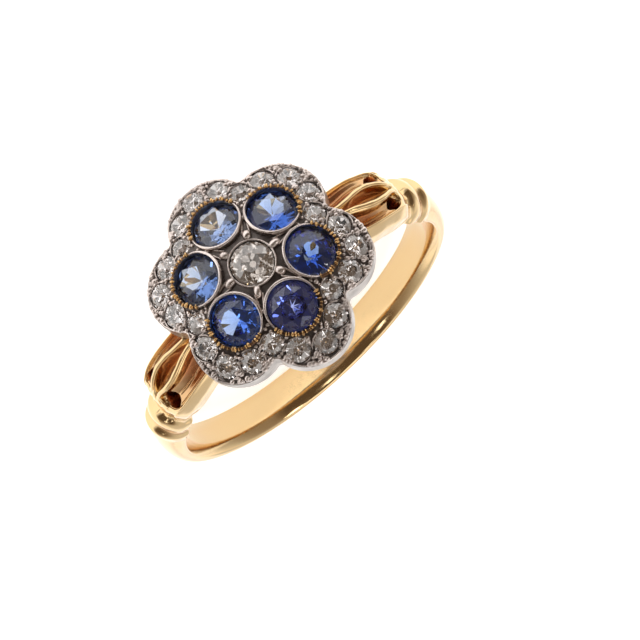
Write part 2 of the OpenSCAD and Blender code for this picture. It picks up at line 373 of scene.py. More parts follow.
GOLD = gold("yellow_gold", (0.79, 0.56, 0.285, 1.0), (0.42, 0.16, 0.06, 1.0), 0.085, 0.18)
BEAD_GOLD = gold("milgrain_gold", (0.74, 0.47, 0.20, 1.0), (0.12, 0.05, 0.02, 1.0), 0.14, 0.28)
SILVER = silver("worn_silver", (0.75, 0.67, 0.63, 1.0), (0.075, 0.045, 0.035, 1.0))
MOUNT_SILVER = silver("mount_silver", (0.55, 0.505, 0.48, 1.0), (0.035, 0.023, 0.019, 1.0), 0.22, 0.38, 0.96)
DIAMOND = gem("old_cut_diamond", (0.96, 0.915, 0.905, 1.0), 2.417)
CENTRE_DIAMOND = gem("old_cut_diamond_warm", (0.575, 0.52, 0.48, 1.0), 2.417)
# six lit and shaded copies of one sapphire: each stone's base colour is lightened and its absorption set apart to paint
# the sheen and shade it shows where it sits on the head
SAPPHIRE = [
    gem("sapphire_blue_%d" % i, colour, 1.77, absorb, density, 0.0, 0.75)
    for i, (colour, absorb, density) in enumerate([
        ((0.86, 0.88, 0.97, 1.0), (0.14, 0.42, 0.80, 1.0), 1120.0),
        ((0.94, 0.94, 0.97, 1.0), (0.41, 0.56, 0.79, 1.0), 850.0),
        ((0.91, 0.93, 0.97, 1.0), (0.32, 0.51, 0.79, 1.0), 930.0),
        ((0.86, 0.90, 0.99, 1.0), (0.09, 0.45, 0.97, 1.0), 800.0),
        ((0.89, 0.90, 0.99, 1.0), (0.20, 0.38, 0.96, 1.0), 760.0),
        ((0.82, 0.87, 0.97, 1.0), (0.10, 0.41, 0.87, 1.0), 1180.0),
    ])
]

# ---------------------------------------------------------------- gold hoop, ridges and shoulders

# How far each ridge stands out of the hoop, along the angle above the hoop's widest point
SWELL = np.array([
    [0, 0.0], [16.5, 0.0], [18.5, 0.03], [20.0, 0.20], [21.2, 0.60], [22.2, 0.90], [23.0, 1.0], [23.8, 0.90],
    [24.6, 0.48], [25.4, 0.10], [26.0, 0.06], [26.8, 0.28], [27.6, 0.60], [28.6, 0.88], [29.8, 1.02], [30.9, 1.02],
    [31.7, 0.90], [32.4, 0.62], [33.1, 0.34], [34.0, 0.16], [36.0, 0.07], [38.0, 0.05],
])
# Shoulder rows: angle, rib radius, half width, rib offset, opening depth, channel depth, petal offset, petal drop
SHOULDER = np.array([
    [30, 9.88, 1.22, 0.14, 0.00, 0.00, 0.92, 0.20],
    [33, 9.88, 1.22, 0.15, 0.02, 0.02, 0.95, 0.18],
    [35, 9.98, 1.27, 0.16, 0.02, 0.03, 0.99, 0.17],
    [37, 10.22, 1.38, 0.16, 0.03, 0.04, 1.06, 0.16],
    [39, 10.50, 1.49, 0.17, 0.03, 0.06, 1.14, 0.17],
    [41, 10.72, 1.57, 0.18, 0.04, 0.10, 1.24, 0.20],
    [42.3, 10.82, 1.61, 0.18, 0.06, 0.22, 1.29, 0.24],
    [43.5, 10.90, 1.64, 0.19, 0.18, 0.38, 1.32, 0.30],
    [45, 10.98, 1.66, 0.25, 0.46, 0.52, 1.36, 0.38],
    [48, 11.08, 1.68, 0.42, 0.78, 0.64, 1.42, 0.50],
    [52, 11.16, 1.68, 0.52, 0.95, 0.80, 1.43, 0.58],
    [56, 11.22, 1.64, 0.45, 1.00, 0.96, 1.41, 0.66],
    [60, 11.26, 1.62, 0.28, 0.70, 1.06, 1.38, 0.74],
    [63, 11.28, 1.60, 0.19, 0.25, 1.08, 1.36, 0.78],
    [68, 11.30, 1.56, 0.17, 0.10, 1.08, 1.32, 0.78],
    [74, 11.30, 1.54, 0.17, 0.08, 1.08, 1.30, 0.78],
])
FLAT_N, ARC_N = 6, 20
SEGMENTS = [6, 6, 4, 4, 8, 14, 14, 6, 4, 4, 4, 6, 10, 5]


def along(stations, counts):
    out = []
    for a, b, n in zip(stations[:-1], stations[1:], counts):
        t = np.arange(n)[:, None] / n
        out.append(a + (b - a) * t)
    out.append(stations[-1][None])
    return np.concatenate(out)


def hoop_half(beta, swell, sin_a):
    """Half of the hoop's section from its inner middle to its outer middle: [across, radius]."""
    width = 1.185 + 0.10 * smoothstep(-40, 16, beta)
    outer = RI + MID_OUT + EDGE_R + TAPER * sin_a - 0.01
    rm = RI + 0.46
    flat = 0.42 + 0.30 * smoothstep(10, 22, beta)
    turn_at, slope = width - 0.09, 0.60
    reach_ = turn_at - flat
    bottom = np.stack([np.linspace(0, flat, FLAT_N, endpoint=False), np.full(FLAT_N, RI)], 1)
    s1 = np.linspace(0, 1, 11, endpoint=False)
    easy = np.stack([flat + reach_ * s1, RI + slope / 2 * reach_ * s1 ** 2], 1)
    s2 = np.linspace(0, 1, ARC_N - 11, endpoint=False)[:, None]
    p0 = np.array([turn_at, RI + slope / 2 * reach_])
    p1 = np.array([width, p0[1] + slope * 0.09])
    tight = (1 - s2) ** 2 * p0 + 2 * s2 * (1 - s2) * p1 + s2 ** 2 * np.array([width, rm])
    lower = np.concatenate([easy, tight])
    key = np.array([1.0, 0.965, 0.80, 0.74, 0.66, 0.58, 0.42, 0.26, 0.20, 0.15, 0.10, 0.06, 0.03, 0.012, 0.0]) * width
    y = along(key[:, None], SEGMENTS)[:, 0]
    r = rm + (outer - rm) * np.maximum(1 - (y / width) ** 2.15, 0) ** (1 / 2.15)
    top = np.stack([y, r], 1)
    half = np.concatenate([bottom, lower, top])
    c = np.array([RI + 0.25, 0.0])
    d = np.stack([half[:, 1] - c[0], half[:, 0]], 1)
    dist = np.linalg.norm(d, axis=1)
    psi = np.degrees(np.arctan2(d[:, 1], d[:, 0]))
    w = 1 - smoothstep(88, 101, psi)
    grow = np.maximum(1.4 - dist, 0) * swell * w
    d *= ((dist + grow) / np.maximum(dist, 1e-6))[:, None]
    return np.stack([d[:, 1], d[:, 0] + c[0]], 1)


def shoulder_half(row):
    _, top, half, rib, opening, channel, petal, drop = row
    lip = top - drop
    flat = 0.80 + 0.42 * smoothstep(1.22, 1.6, half)
    rm = RI + 0.55
    bottom = np.stack([np.linspace(0, flat, FLAT_N, endpoint=False), np.full(FLAT_N, RI)], 1)
    a = np.linspace(0, math.pi / 2, ARC_N, endpoint=False)
    lower = np.stack([flat + (half - flat) * np.sin(a) ** 0.9, rm - (rm - RI) * np.cos(a)], 1)
    floor_ = top - channel
    e = float(smoothstep(0.0, 0.5, channel))
    o = float(smoothstep(0.03, 0.2, opening))
    stations = np.array([
        [half, rm], [half + 0.05, (lip + rm) / 2], [petal + 0.10, lip - 0.10], [petal, lip],
        [petal - 0.09, lip - 0.05 - 0.05 * e], [petal - 0.17, lip - 0.05 - 0.45 * max(lip - floor_, 0) * e],
        [(rib + petal) / 2 + 0.02, floor_], [rib + 0.20, top - 0.02 - 0.62 * channel],
        [rib + 0.13, top - 0.02 - 0.18 * e], [rib + 0.07, top - 0.11 * e], [rib, top - 0.08 * e],
        [max(rib - 0.08, 0.05), top - 0.11 * e], [max(rib - 0.14, 0.035), top - 0.10 * o - 0.35 * opening],
        [max(rib - 0.19, 0.0) * 0.8 + 0.012, top - 0.05 * o - opening * 0.88], [0.0, top - 0.05 * o - opening],
    ])
    return np.concatenate([bottom, lower, along(stations, SEGMENTS)])


betas = np.concatenate([
    np.linspace(-90, 16, 96, endpoint=False),
    np.linspace(16, 33, 110, endpoint=False),
    np.linspace(33, 48, 105, endpoint=False),
    np.linspace(48, 72, 121),
])
swell_fine = np.interp(np.arange(-90, 73, 0.05), SWELL[:, 0], SWELL[:, 1])
swell_fine[np.arange(-90, 73, 0.05) < 0] = 0
swell_fine = gauss(swell_fine, 5.0)
grid = np.arange(28, 75, 0.1)
table = np.stack([np.interp(grid, SHOULDER[:, 0], SHOULDER[:, k]) for k in range(8)], 1)
table[:, 1:] = gauss(table[:, 1:], 6.0)


def half_at(beta):
    blend = float(smoothstep(31.3, 35.5, beta))
    swell = float(np.interp(beta, np.arange(-90, 73, 0.05), swell_fine))
    hoop = hoop_half(beta, swell, math.sin(math.radians(beta))) if blend < 1 else None
    if blend == 0:
        return hoop, 0.0
    row = [np.interp(beta, grid, table[:, k]) for k in range(8)]
    carved = shoulder_half(row)
    return (carved if hoop is None else hoop * (1 - blend) + carved * blend), blend


halves = [half_at(float(b)) for b in betas]
H = np.stack([h for h, _ in halves])
BLEND = np.array([b for _, b in halves])
N_HALF = H.shape[1]
top_from = FLAT_N + ARC_N
# one whole closed section: right half upward, then left half downward
whole = np.concatenate([H, (H * [-1, 1])[:, -2:0:-1]], 1)
soft = gauss(whole, 1.25, axis=1, wrap=True)
w_soft = np.zeros(whole.shape[1])
w_soft[top_from + 2:N_HALF] = 1
w_soft[N_HALF:N_HALF + (N_HALF - top_from) - 4] = 1
w_soft = gauss(w_soft, 1.5, wrap=True)
whole = whole + (soft - whole) * (w_soft[None, :, None] * BLEND[:, None, None])
Y, RR = whole[..., 0].copy(), whole[..., 1].copy()
T = np.broadcast_to(betas[:, None], Y.shape)
is_top = (w_soft > 0.5)[None, :] & (BLEND[:, None] > 0)

# cups at the foot of the side channels
CUP_T, CUP_Y = 45.0, 0.85
arc = np.radians(T - CUP_T) * 10.7
side = np.abs(Y) - CUP_Y
d_cup = np.hypot(np.where(arc > 0, arc / 1.45, arc), side * 1.04)
hole = 0.70 * (1 - smoothstep(0.12, 0.43, d_cup))
RR = RR - np.where(is_top, hole, 0)
# fine engraved line along each side channel, and the slit on the petal's inner face
rib_at = np.interp(T, SHOULDER[:, 0], SHOULDER[:, 3])
petal_at = np.interp(T, SHOULDER[:, 0], SHOULDER[:, 6])
line_y = rib_at + (petal_at - rib_at) * 0.56
win = smoothstep(47.5, 50, T) * (1 - smoothstep(66, 70, T))
RR = RR + np.where(is_top, 0.06 * win * np.exp(-(((np.abs(Y) - line_y) / 0.035) ** 2)), 0)
slit_y = petal_at - 0.16 + 0.03 * np.sin(np.radians(T * 9))
win = smoothstep(44.5, 47, T) * (1 - smoothstep(59, 62, T))
RR = RR - np.where(is_top, 0.05 * win * np.exp(-(((np.abs(Y) - slit_y) / 0.03) ** 2)), 0)
# tiny nicks across the ribs near the head
nick = np.maximum(np.sin(np.radians(T * 150)), 0) ** 6 * smoothstep(54, 58, T)
RR = RR - np.where(is_top, 0.022 * nick * np.exp(-(((np.abs(Y) - rib_at) / 0.09) ** 2)), 0)

# painted shade, with some patina, in the hollows: how dark each point of the middle opening, the side channels and the
# cups is painted
reach = np.interp(T, SHOULDER[:, 0], SHOULDER[:, 1])
opening_shade = smoothstep(0.12, 0.50, reach - RR) * (1 - smoothstep(rib_at - 0.12, rib_at - 0.02, np.abs(Y))) * smoothstep(43.5, 46, T)
channel_shade = smoothstep(rib_at + 0.11, rib_at + 0.24, np.abs(Y)) * (1 - smoothstep(petal_at - 0.22, petal_at - 0.06, np.abs(Y)))
channel_shade = channel_shade * smoothstep(44, 48, T) * (0.38 + 0.62 * smoothstep(49, 60, T))
# the raised engraved line keeps less of the painted shade than the channel round it
channel_shade = channel_shade * (1 - 0.55 * np.exp(-(((np.abs(Y) - line_y) / 0.04) ** 2)) * smoothstep(47.5, 50, T))
cup_shade = 1 - smoothstep(0.27, 0.45, d_cup)
HOLLOW_SHADE_AND_PATINA = np.where(is_top, np.maximum(np.maximum(0.72 * opening_shade, 1.25 * channel_shade), 1.55 * cup_shade), 0.0)
# painted shade in the groove between the two ridges
groove_shade = np.exp(-(((T - 25.8) / 0.55) ** 2)) * 0.55
HOLLOW_SHADE_AND_PATINA = np.maximum(HOLLOW_SHADE_AND_PATINA, np.where(RR > RI + 0.3, groove_shade, 0))


def leaning(t, y, r, shift, narrow):
    """The ribs and cups of each hand-carved shoulder sit a little to one side, and one shoulder is slimmer."""
    w = smoothstep(38, 45, t) * (1 - smoothstep(0.75, 1.38, np.abs(y))) * smoothstep(RI + 0.6, RI + 1.1, r)
    return (y + shift * w) * (1 - narrow * smoothstep(36, 42, t) * (1 - smoothstep(47, 55, t)))


def place_rings(beta, y, r, mirror=1.0):
    a = np.radians(beta)[:, None]
    x, z = r * np.cos(a), r * np.sin(a)
    z = np.where(beta[:, None] > 45, np.minimum(z, WALL_Z), z)
    return np.stack([mirror * x, y, z], -1)


cut = int(np.argmin(np.abs(betas - 16)))


def tuck(beta, y, r, under):
    """Each piece runs on a little way under its neighbour, so that no seam shows where they meet."""
    e = 0.004 * np.clip(under(beta), 0, 1)[:, None]
    return y * (1 - e), RI + 0.45 + (r - RI - 0.45) * (1 - e)


band = betas[:cut + 7]
y_band, r_band = tuck(band, Y[:cut + 7], RR[:cut + 7], lambda b: (b - 16.0) / 0.8)
right = place_rings(band, y_band, r_band)
left = place_rings(band, y_band, r_band, -1.0)
v, f = skin(np.concatenate([left[::-1], right[1:]]))
cav = np.concatenate([HOLLOW_SHADE_AND_PATINA[:cut + 7][::-1], HOLLOW_SHADE_AND_PATINA[1:cut + 7]]).ravel()
hoop_piece = add_piece("hoop_band", v, f, GOLD, values={"cavity": np.concatenate([cav, [0, 0]])})
shoulders = []
# Rib rows: angle, across, radius less the rib's own, wire radius. From the head down the rib, round the cup
# and back along the petal's lip.
RIB = np.array([
    [66, 0.21, 0.0, 0.10], [63, 0.21, 0.0, 0.11], [60, 0.29, 0.0, 0.122], [56, 0.46, 0.0, 0.128], [52, 0.53, 0.0, 0.128],
    [48.5, 0.45, 0.0, 0.125], [46.3, 0.32, 0.0, 0.118], [44.8, 0.235, 0.0, 0.108], [43.5, 0.25, -0.02, 0.095],
    [42.6, 0.38, -0.08, 0.085], [42.15, 0.60, -0.15, 0.08], [42.1, 0.85, -0.22, 0.078], [42.6, 1.09, -0.27, 0.075],
    [43.6, 1.27, -0.30, 0.072], [45.2, 1.38, -0.39, 0.066], [48, 1.43, -0.50, 0.06], [52, 1.44, -0.58, 0.056],
    [57, 1.41, -0.68, 0.052], [62, 1.38, -0.76, 0.048], [67, 1.34, -0.80, 0.04],
])
q = np.concatenate([[0], np.cumsum(np.hypot(np.diff(RIB[:, 0]) * 0.19, np.diff(RIB[:, 1])))])
fine = np.linspace(0, q[-1], 420)
wire = np.stack([np.interp(fine, q, RIB[:, k]) for k in range(4)], 1)
wire = np.concatenate([wire[:1], gauss(wire, 9.0)[1:-1], wire[-1:]])
crest = np.interp(wire[:, 0], grid, table[:, 1])
for name, mirror, shift, narrow in (("shoulder_right", 1.0, -0.13, 0.05), ("shoulder_left", -1.0, 0.17, 0.0)):
    t_rows, (y_rows, r_rows) = T[cut - 1:], tuck(betas[cut - 1:], Y[cut - 1:], RR[cut - 1:], lambda b: 16.0 - b)
    rings = place_rings(betas[cut - 1:], leaning(t_rows, y_rows, r_rows, shift, narrow), r_rows, mirror)
    v, f = skin(rings)
    shoulders.append(add_piece(name, v, f, GOLD, values={"cavity": np.concatenate([HOLLOW_SHADE_AND_PATINA[cut - 1:].ravel(), [0, 0]])}))
    tubes = []
    for s in (-1, 1):
        r = crest + wire[:, 2] - 0.035
        y = leaning(wire[:, 0], s * wire[:, 1], r, shift, narrow)
        a = np.radians(wire[:, 0])
        mid_line = np.stack([mirror * r * np.cos(a), y, r * np.sin(a)], 1)
        out_dir = np.stack([mirror * np.cos(a), 0 * a, np.sin(a)], 1)
        go = np.gradient(mid_line, axis=0)
        go /= np.linalg.norm(go, axis=1)[:, None]
        lean_side = np.cross(go, out_dir)
        lean_side /= np.linalg.norm(lean_side, axis=1)[:, None]
        up_dir = np.cross(lean_side, go)
        k = np.linspace(0, 2 * math.pi, 14, endpoint=False)
        w = wire[:, 3] * (1 + 0.06 * np.sin(fine * 7 + s))
        tube = mid_line[:, None] + w[:, None, None] * (np.cos(k)[None, :, None] * lean_side[:, None] + 0.95 * np.sin(k)[None, :, None] * up_dir[:, None])
        tube[..., 2] = np.minimum(tube[..., 2], WALL_Z)
        tubes.append(skin(tube))
    v, f = joined(tubes)
    shoulders.append(add_piece(name + "_ribs", v, f, GOLD, values={"cavity": np.zeros(len(v))}))

# tapered ring under the head
prof = np.array([[3.55, 9.05], [3.6, 9.02], [3.95, 9.02], [4.02, 9.07], [4.26, 9.6], [4.49, 10.12], [4.48, WALL_Z], [4.2, WALL_Z], [3.9, 9.65]])
t = np.linspace(0, 2 * math.pi, 160, endpoint=False)
rings = np.stack([prof[None, :, 0] * np.cos(t)[:, None], prof[None, :, 0] * np.sin(t)[:, None], np.broadcast_to(prof[None, :, 1], (160, len(prof)))], -1)
v, f = skin(rings, loop=True)
# painted shade, with some patina: the whole ring under the head is painted a third of the way to the dark hollow colour
gallery = add_piece("gallery_ring", v, f, GOLD, values={"cavity": np.full(len(v), 0.35)})
for piece in [hoop_piece, gallery] + shoulders:
    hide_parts("shank")

# ---------------------------------------------------------------- silver head
nodes = frame["nodes"]
mount = nodes["cluster_mount"]
for s in mount.material_slots:
    s.material = MOUNT_SILVER

rng = np.random.default_rng(7)


def arc_tube(frame_, radius, start, stop, profile, n, height=None, width=None):
    """A profile [across, up] swept round a stone; the angle is from the side that looks at the head's middle."""
    a = np.radians(np.linspace(start, stop, n)) + math.pi
    whole_turn = abs(abs(stop - start) - 360) < 1e-6
    if whole_turn:
        a = a[:-1]
    up = np.ones(len(a)) if height is None else height(np.linspace(0, 1, len(a)))
    wide = np.ones(len(a)) if width is None else width(np.linspace(0, 1, len(a)))
    rr = radius + profile[None, :, 0] * wide[:, None]
    z = profile[None, :, 1] * up[:, None] if height is not None else np.broadcast_to(profile[None, :, 1], rr.shape)
    local = np.stack([rr * np.cos(a)[:, None], rr * np.sin(a)[:, None], z], -1)
    return skin(put(local, frame_), loop=whole_turn)


def rounded(w, lo, hi, k=8):
    """A bar's section with a round top: half width w, from lo up to hi."""
    t_ = np.linspace(0, math.pi, k)
    pts = [[w * math.cos(x), hi - w + w * math.sin(x)] for x in t_]
    return np.array([[w, lo]] + pts + [[-w, lo]])[::-1]


def bead(frame_, at, size, tip=0.0):
    local = BALL_V * np.asarray(size, float) + np.asarray(at, float)
    return put(local, frame_), [BALL_F]


tall = lambda s: 0.5 + 0.5 * smoothstep(0, 0.16, np.minimum(s, 1 - s))
thin = lambda s: 0.45 + 0.55 * smoothstep(0, 0.30, np.minimum(s, 1 - s))
collars, beads, walls = [], [], []
for i in range(6):
    fr = dome_frame(30 + 60 * i, SAPPHIRE_POLAR)
    r0 = SAPPHIRE_D / 2 + 0.085
    collars.append(arc_tube(fr, r0 + 0.012, -106, 106, rounded(0.08, -0.25, 0.24), 90, tall, thin))
    walls.append(arc_tube(fr, r0 + 0.03, 100, 260, rounded(0.085, -0.2, 0.13), 70))
    count = 23
    for k in range(count):
        a = math.radians(101 + 158 * k / (count - 1) + rng.uniform(-3.0, 3.0)) + math.pi
        rad = r0 + 0.03 + rng.uniform(-0.05, 0.03)
        size = rng.uniform(0.56, 1.24)
        c = np.array([rad * math.cos(a), rad * math.sin(a), 0.15 + rng.uniform(-0.015, 0.02)])
        turn = np.array([[math.cos(a), math.sin(a), 0], [-math.sin(a), math.cos(a), 0], [0, 0, 1]])
        local = (BALL_V * (np.array([0.128, 0.064 * rng.uniform(0.7, 1.2), 0.10]) * size)) @ turn + c
        beads.append((put(local, fr), [BALL_F]))
v, f = joined(collars)
add_piece("sapphire_collars", v, f, SILVER)
v, f = joined(walls)
# painted shade, with some patina: the wall between the milgrain beads is painted all through in the dark hollow colour
add_piece("milgrain_wall", v, f, BEAD_GOLD, values={"cavity": np.full(len(v), 1.0)})
v, f = joined(beads)
tint = np.repeat(rng.uniform(-0.5, 0.6, len(beads)).clip(0, 1), len(BALL_V))
add_piece("milgrain_beads", v, f, BEAD_GOLD, values={"cavity": tint})

# thin edge round the centre diamond, six grains and the ridges that run out from them
fr0 = dome_frame(0, 0)
parts = [arc_tube(fr0, CENTRE_D / 2 + 0.075, 0, 360, rounded(0.045, -0.15, 0.055), 97)]
for i in range(6):
    az = 60 * i
    fr = dome_frame(az, math.degrees(1.47 / DOME_R))
    parts.append(bead(fr, (rng.uniform(-0.05, 0.0), rng.uniform(-0.03, 0.03), 0.07), (0.30 * rng.uniform(0.85, 1.15), 0.22 * rng.uniform(0.85, 1.15), 0.22)))
    parts.append(bead(dome_frame(az + rng.uniform(-1, 1), math.degrees(2.42 / DOME_R)), (0, 0, 0.06), (0.12, 0.11, 0.13)))
    for s in (-1, 1):
        n = 14
        line = []
        for k in range(n):
            q = k / (n - 1)
            pol = math.degrees((1.55 + 0.78 * q) / DOME_R)
            off = s * (0.15 * (1 - q) ** 0.8 + 0.05)
            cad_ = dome_frame(az, pol)
            t_ = np.linspace(0, 2 * math.pi, 10, endpoint=False)
            w, h = 0.05, 0.10 + 0.06 * q
            local = np.stack([np.zeros(10), off + w * np.cos(t_), 0.02 + h * np.sin(t_)], 1)
            line.append(put(local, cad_))
        parts.append(skin(np.array(line)))
v, f = joined(parts)
add_piece("centre_grains", v, f, SILVER)

# thin cut edges round the border diamonds and the small grains between them
stones = []
for i in range(6):
    for aside, pol, d in BORDER:
        stones.append((30 + 60 * i + aside, pol, d))
edges, grains = [], []
for az, pol, d in stones:
    at = rng.uniform(0, 360)
    for _ in range(4):
        length = rng.uniform(38, 72)
        edges.append(arc_tube(dome_frame(az, pol), d / 2 + 0.045, at, at + length, rounded(rng.uniform(0.026, 0.04), -0.1, rng.uniform(0.03, 0.06), 6), 16,
                              lambda s: 0.3 + 0.7 * smoothstep(0, 0.3, np.minimum(s, 1 - s)), lambda s: 0.35 + 0.65 * smoothstep(0, 0.35, np.minimum(s, 1 - s))))
        at += length + rng.uniform(14, 34)
order = sorted(range(24), key=lambda k: stones[k][0] % 360)
for a, b in zip(order, order[1:] + order[:1]):
    az1, p1, d1 = stones[a]
    az2, p2, d2 = stones[b]
    if az2 < az1:
        az2 += 360
    az, pol = (az1 + az2) / 2, (p1 + p2) / 2
    for out, count, size in ((0.43, 2, 0.125), (-0.40, 1, 0.12), (0.62, 1, 0.09)):
        fr = dome_frame(az, pol + math.degrees(out / DOME_R))
        for k in range(count):
            off = (k - (count - 1) / 2) * 0.20 + rng.uniform(-0.025, 0.025)
            s = size * rng.uniform(0.85, 1.15)
            grains.append(bead(fr, (rng.uniform(-0.03, 0.03), off, 0.03), (s * rng.uniform(0.85, 1.25), s * rng.uniform(0.8, 1.1), s * 0.95)))

# bright thin line along the head's lobed outer edge


def outline(phi):
    best = np.zeros_like(phi)
    for i in range(6):
        for at, r, az in ((LOBE_AT, LOBE_R, 30 + 60 * i + TURN), (NOTCH_AT, NOTCH_R, 60 * i + TURN)):
            a = math.radians(az)
            b = at * np.cos(phi - a)
            q = r * r - (at * np.sin(phi - a)) ** 2
            best = np.maximum(best, np.where(q > 0, b + np.sqrt(np.maximum(q, 0)), 0))
    return best


phi = np.linspace(0, 2 * math.pi, 900, endpoint=False)
rho = outline(phi)
rho = gauss(rho, 3.0, wrap=True)
edge = np.stack([rho * np.cos(phi), rho * np.sin(phi)], 1)
tan = np.roll(edge, -1, 0) - np.roll(edge, 1, 0)
tan /= np.linalg.norm(tan, axis=1)[:, None]
nor = np.stack([tan[:, 1], -tan[:, 0]], 1)
flat_stones = [(DOME_R * math.sin(math.radians(pol)) * math.cos(math.radians(az + TURN)),
                DOME_R * math.sin(math.radians(pol)) * math.sin(math.radians(az + TURN)), d / 2) for az, pol, d in stones]
step = np.concatenate([[0], np.cumsum(np.linalg.norm(np.roll(edge, -1, 0) - edge, axis=1))])
for at in np.arange(0.1, step[-1], 0.30) + rng.uniform(-0.05, 0.05, len(np.arange(0.1, step[-1], 0.30))):
    k = int(np.searchsorted(step, at)) % 900
    inward = 0.14 + rng.uniform(-0.02, 0.02)
    x, y = edge[k] - nor[k] * inward
    room = min(math.hypot(x - sx, y - sy) - sr for sx, sy, sr in flat_stones)
    size = rng.uniform(0.09, 0.155)
    if room > -0.02:
        pol = math.degrees(math.asin(math.hypot(x, y) / DOME_R))
        grains.append(bead(dome_frame(math.degrees(math.atan2(y, x)), pol, False), (0, 0, 0.015), (size, size * rng.uniform(0.8, 1.2), size)))
sapphires_flat = [(DOME_R * math.sin(math.radians(SAPPHIRE_POLAR)) * math.cos(math.radians(30 + 60 * i + TURN)),
                   DOME_R * math.sin(math.radians(SAPPHIRE_POLAR)) * math.sin(math.radians(30 + 60 * i + TURN)), SAPPHIRE_D / 2 + 0.20) for i in range(6)]
taken = []
for _ in range(8000):
    x, y = rng.uniform(-5.9, 5.9, 2)
    far, ang = math.hypot(x, y), math.atan2(y, x)
    if far < 2.9 or far > outline(np.array([ang]))[0] - 0.16:
        continue
    room = min(math.hypot(x - sx, y - sy) - sr for sx, sy, sr in flat_stones + sapphires_flat)
    near = min([math.hypot(x - gx, y - gy) - 0.5 * gs for gx, gy, gs in taken] + [9.0])
    size = min(0.07 + 0.55 * room, 0.15) * rng.uniform(0.8, 1.1)
    if room > 0.02 and near > 0.5 * size + 0.08:
        taken.append((x, y, size))
        fr = dome_frame(math.degrees(ang), math.degrees(math.asin(far / DOME_R)), False)
        grains.append(bead(fr, (0, 0, 0.01), (size * rng.uniform(0.85, 1.25), size * rng.uniform(0.85, 1.25), size * 0.95)))
v, f = joined(edges)
add_piece("border_edges", v, f, SILVER)
v, f = joined(grains)
add_piece("border_grains", v, f, SILVER)

t_ = np.linspace(0, 2 * math.pi, 12, endpoint=False)
wave = gauss(rng.normal(0, 1, 900), 6.0, wrap=True)
wave = 0.014 * wave / wave.std()
across = -0.062 + (0.05 + 0.5 * wave[:, None]) * np.cos(t_)[None]
up = (0.06 + wave[:, None]) * np.sin(t_)[None]
px = edge[:, None, 0] + nor[:, None, 0] * across
py = edge[:, None, 1] + nor[:, None, 1] * across
z_edge = DOME_Z + np.sqrt(DOME_R ** 2 - (rho - 0.05) ** 2)
pz = z_edge[:, None] + up - 0.02
v, f = skin(np.stack([px, py, pz], -1), loop=True)
add_piece("head_rim", v, f, SILVER)

# ---------------------------------------------------------------- stones


def cut_stone(d, table, crown, girdle, pavilion, culet, star=0.5, lower=0.62, wobble=0.0, seed=0):
    """Old round cut: 8 mains with stars and halves, on a thin girdle; z = 0 is the girdle's upper edge."""
    g = np.random.default_rng(seed)
    r = d / 2
    n = 8
    q = np.arange(n) * 2 * math.pi / n
    h = q + math.pi / n
    c22 = math.cos(math.pi / n)
    t_, m_ = table, table + (1 - table) * star
    zc = lambda x: crown * (1 - x) / (1 - t_)
    ring = lambda rad, ang, z: np.stack([rad * np.cos(ang), rad * np.sin(ang), np.full(len(ang), z)], 1)
    T_ = ring(t_, q, crown)
    M_ = ring(m_ / c22 * 0.985, h, zc(m_ * 0.985))
    both = np.arange(2 * n) * math.pi / n
    G1 = ring(1.0, both, 0.0)
    G2 = ring(1.0, both, -girdle)
    l_ = 1 - lower
    L_ = ring(l_ / c22 * 0.99, h, -girdle - pavilion * (1 - l_ * 0.99) / (1 - culet))
    C_ = ring(culet, q, -girdle - pavilion)
    pts = np.concatenate([T_, M_, G1, G2, L_, C_])
    pts[:, :2] *= r
    if wobble:
        pts[:, :2] *= 1 + g.normal(0, wobble * 0.35, (len(pts), 1)) * (np.arange(len(pts)) < 16)[:, None]
        pts[:8, :2] += g.normal(0, wobble * r * 0.5, 2)
    o = {"T": 0, "M": n, "G": 2 * n, "H": 4 * n, "L": 6 * n, "C": 7 * n}
    tri, quad, octo = [], [], []
    octo.append([o["T"] + k for k in range(n)])
    octo.append([o["C"] + k for k in range(n - 1, -1, -1)])
    for k in range(n):
        k1 = (k + 1) % n
        m0, m1 = o["M"] + (k - 1) % n, o["M"] + k
        gk, gh, gk1 = o["G"] + 2 * k, o["G"] + 2 * k + 1, o["G"] + (2 * k + 2) % (2 * n)
        tri.append([o["T"] + k, m1, o["T"] + k1])
        tri += [[o["T"] + k, m0, gk], [o["T"] + k, gk, m1]]
        tri += [[m1, gk, gh], [m1, gh, gk1]]
        hk, hh, hk1 = gk + 2 * n, gh + 2 * n, gk1 + 2 * n
        quad += [[gk, hk, hh, gh], [gh, hh, hk1, gk1]]
        l0, l1 = o["L"] + (k - 1) % n, o["L"] + k
        tri += [[hk, l1, hh], [hh, l1, hk1]]
        tri += [[hk, l0, o["C"] + k], [hk, o["C"] + k, l1]]
        tri.append([l1, o["C"] + k, o["C"] + k1])
    return pts, [np.array(tri), np.array(quad), np.array(octo)]


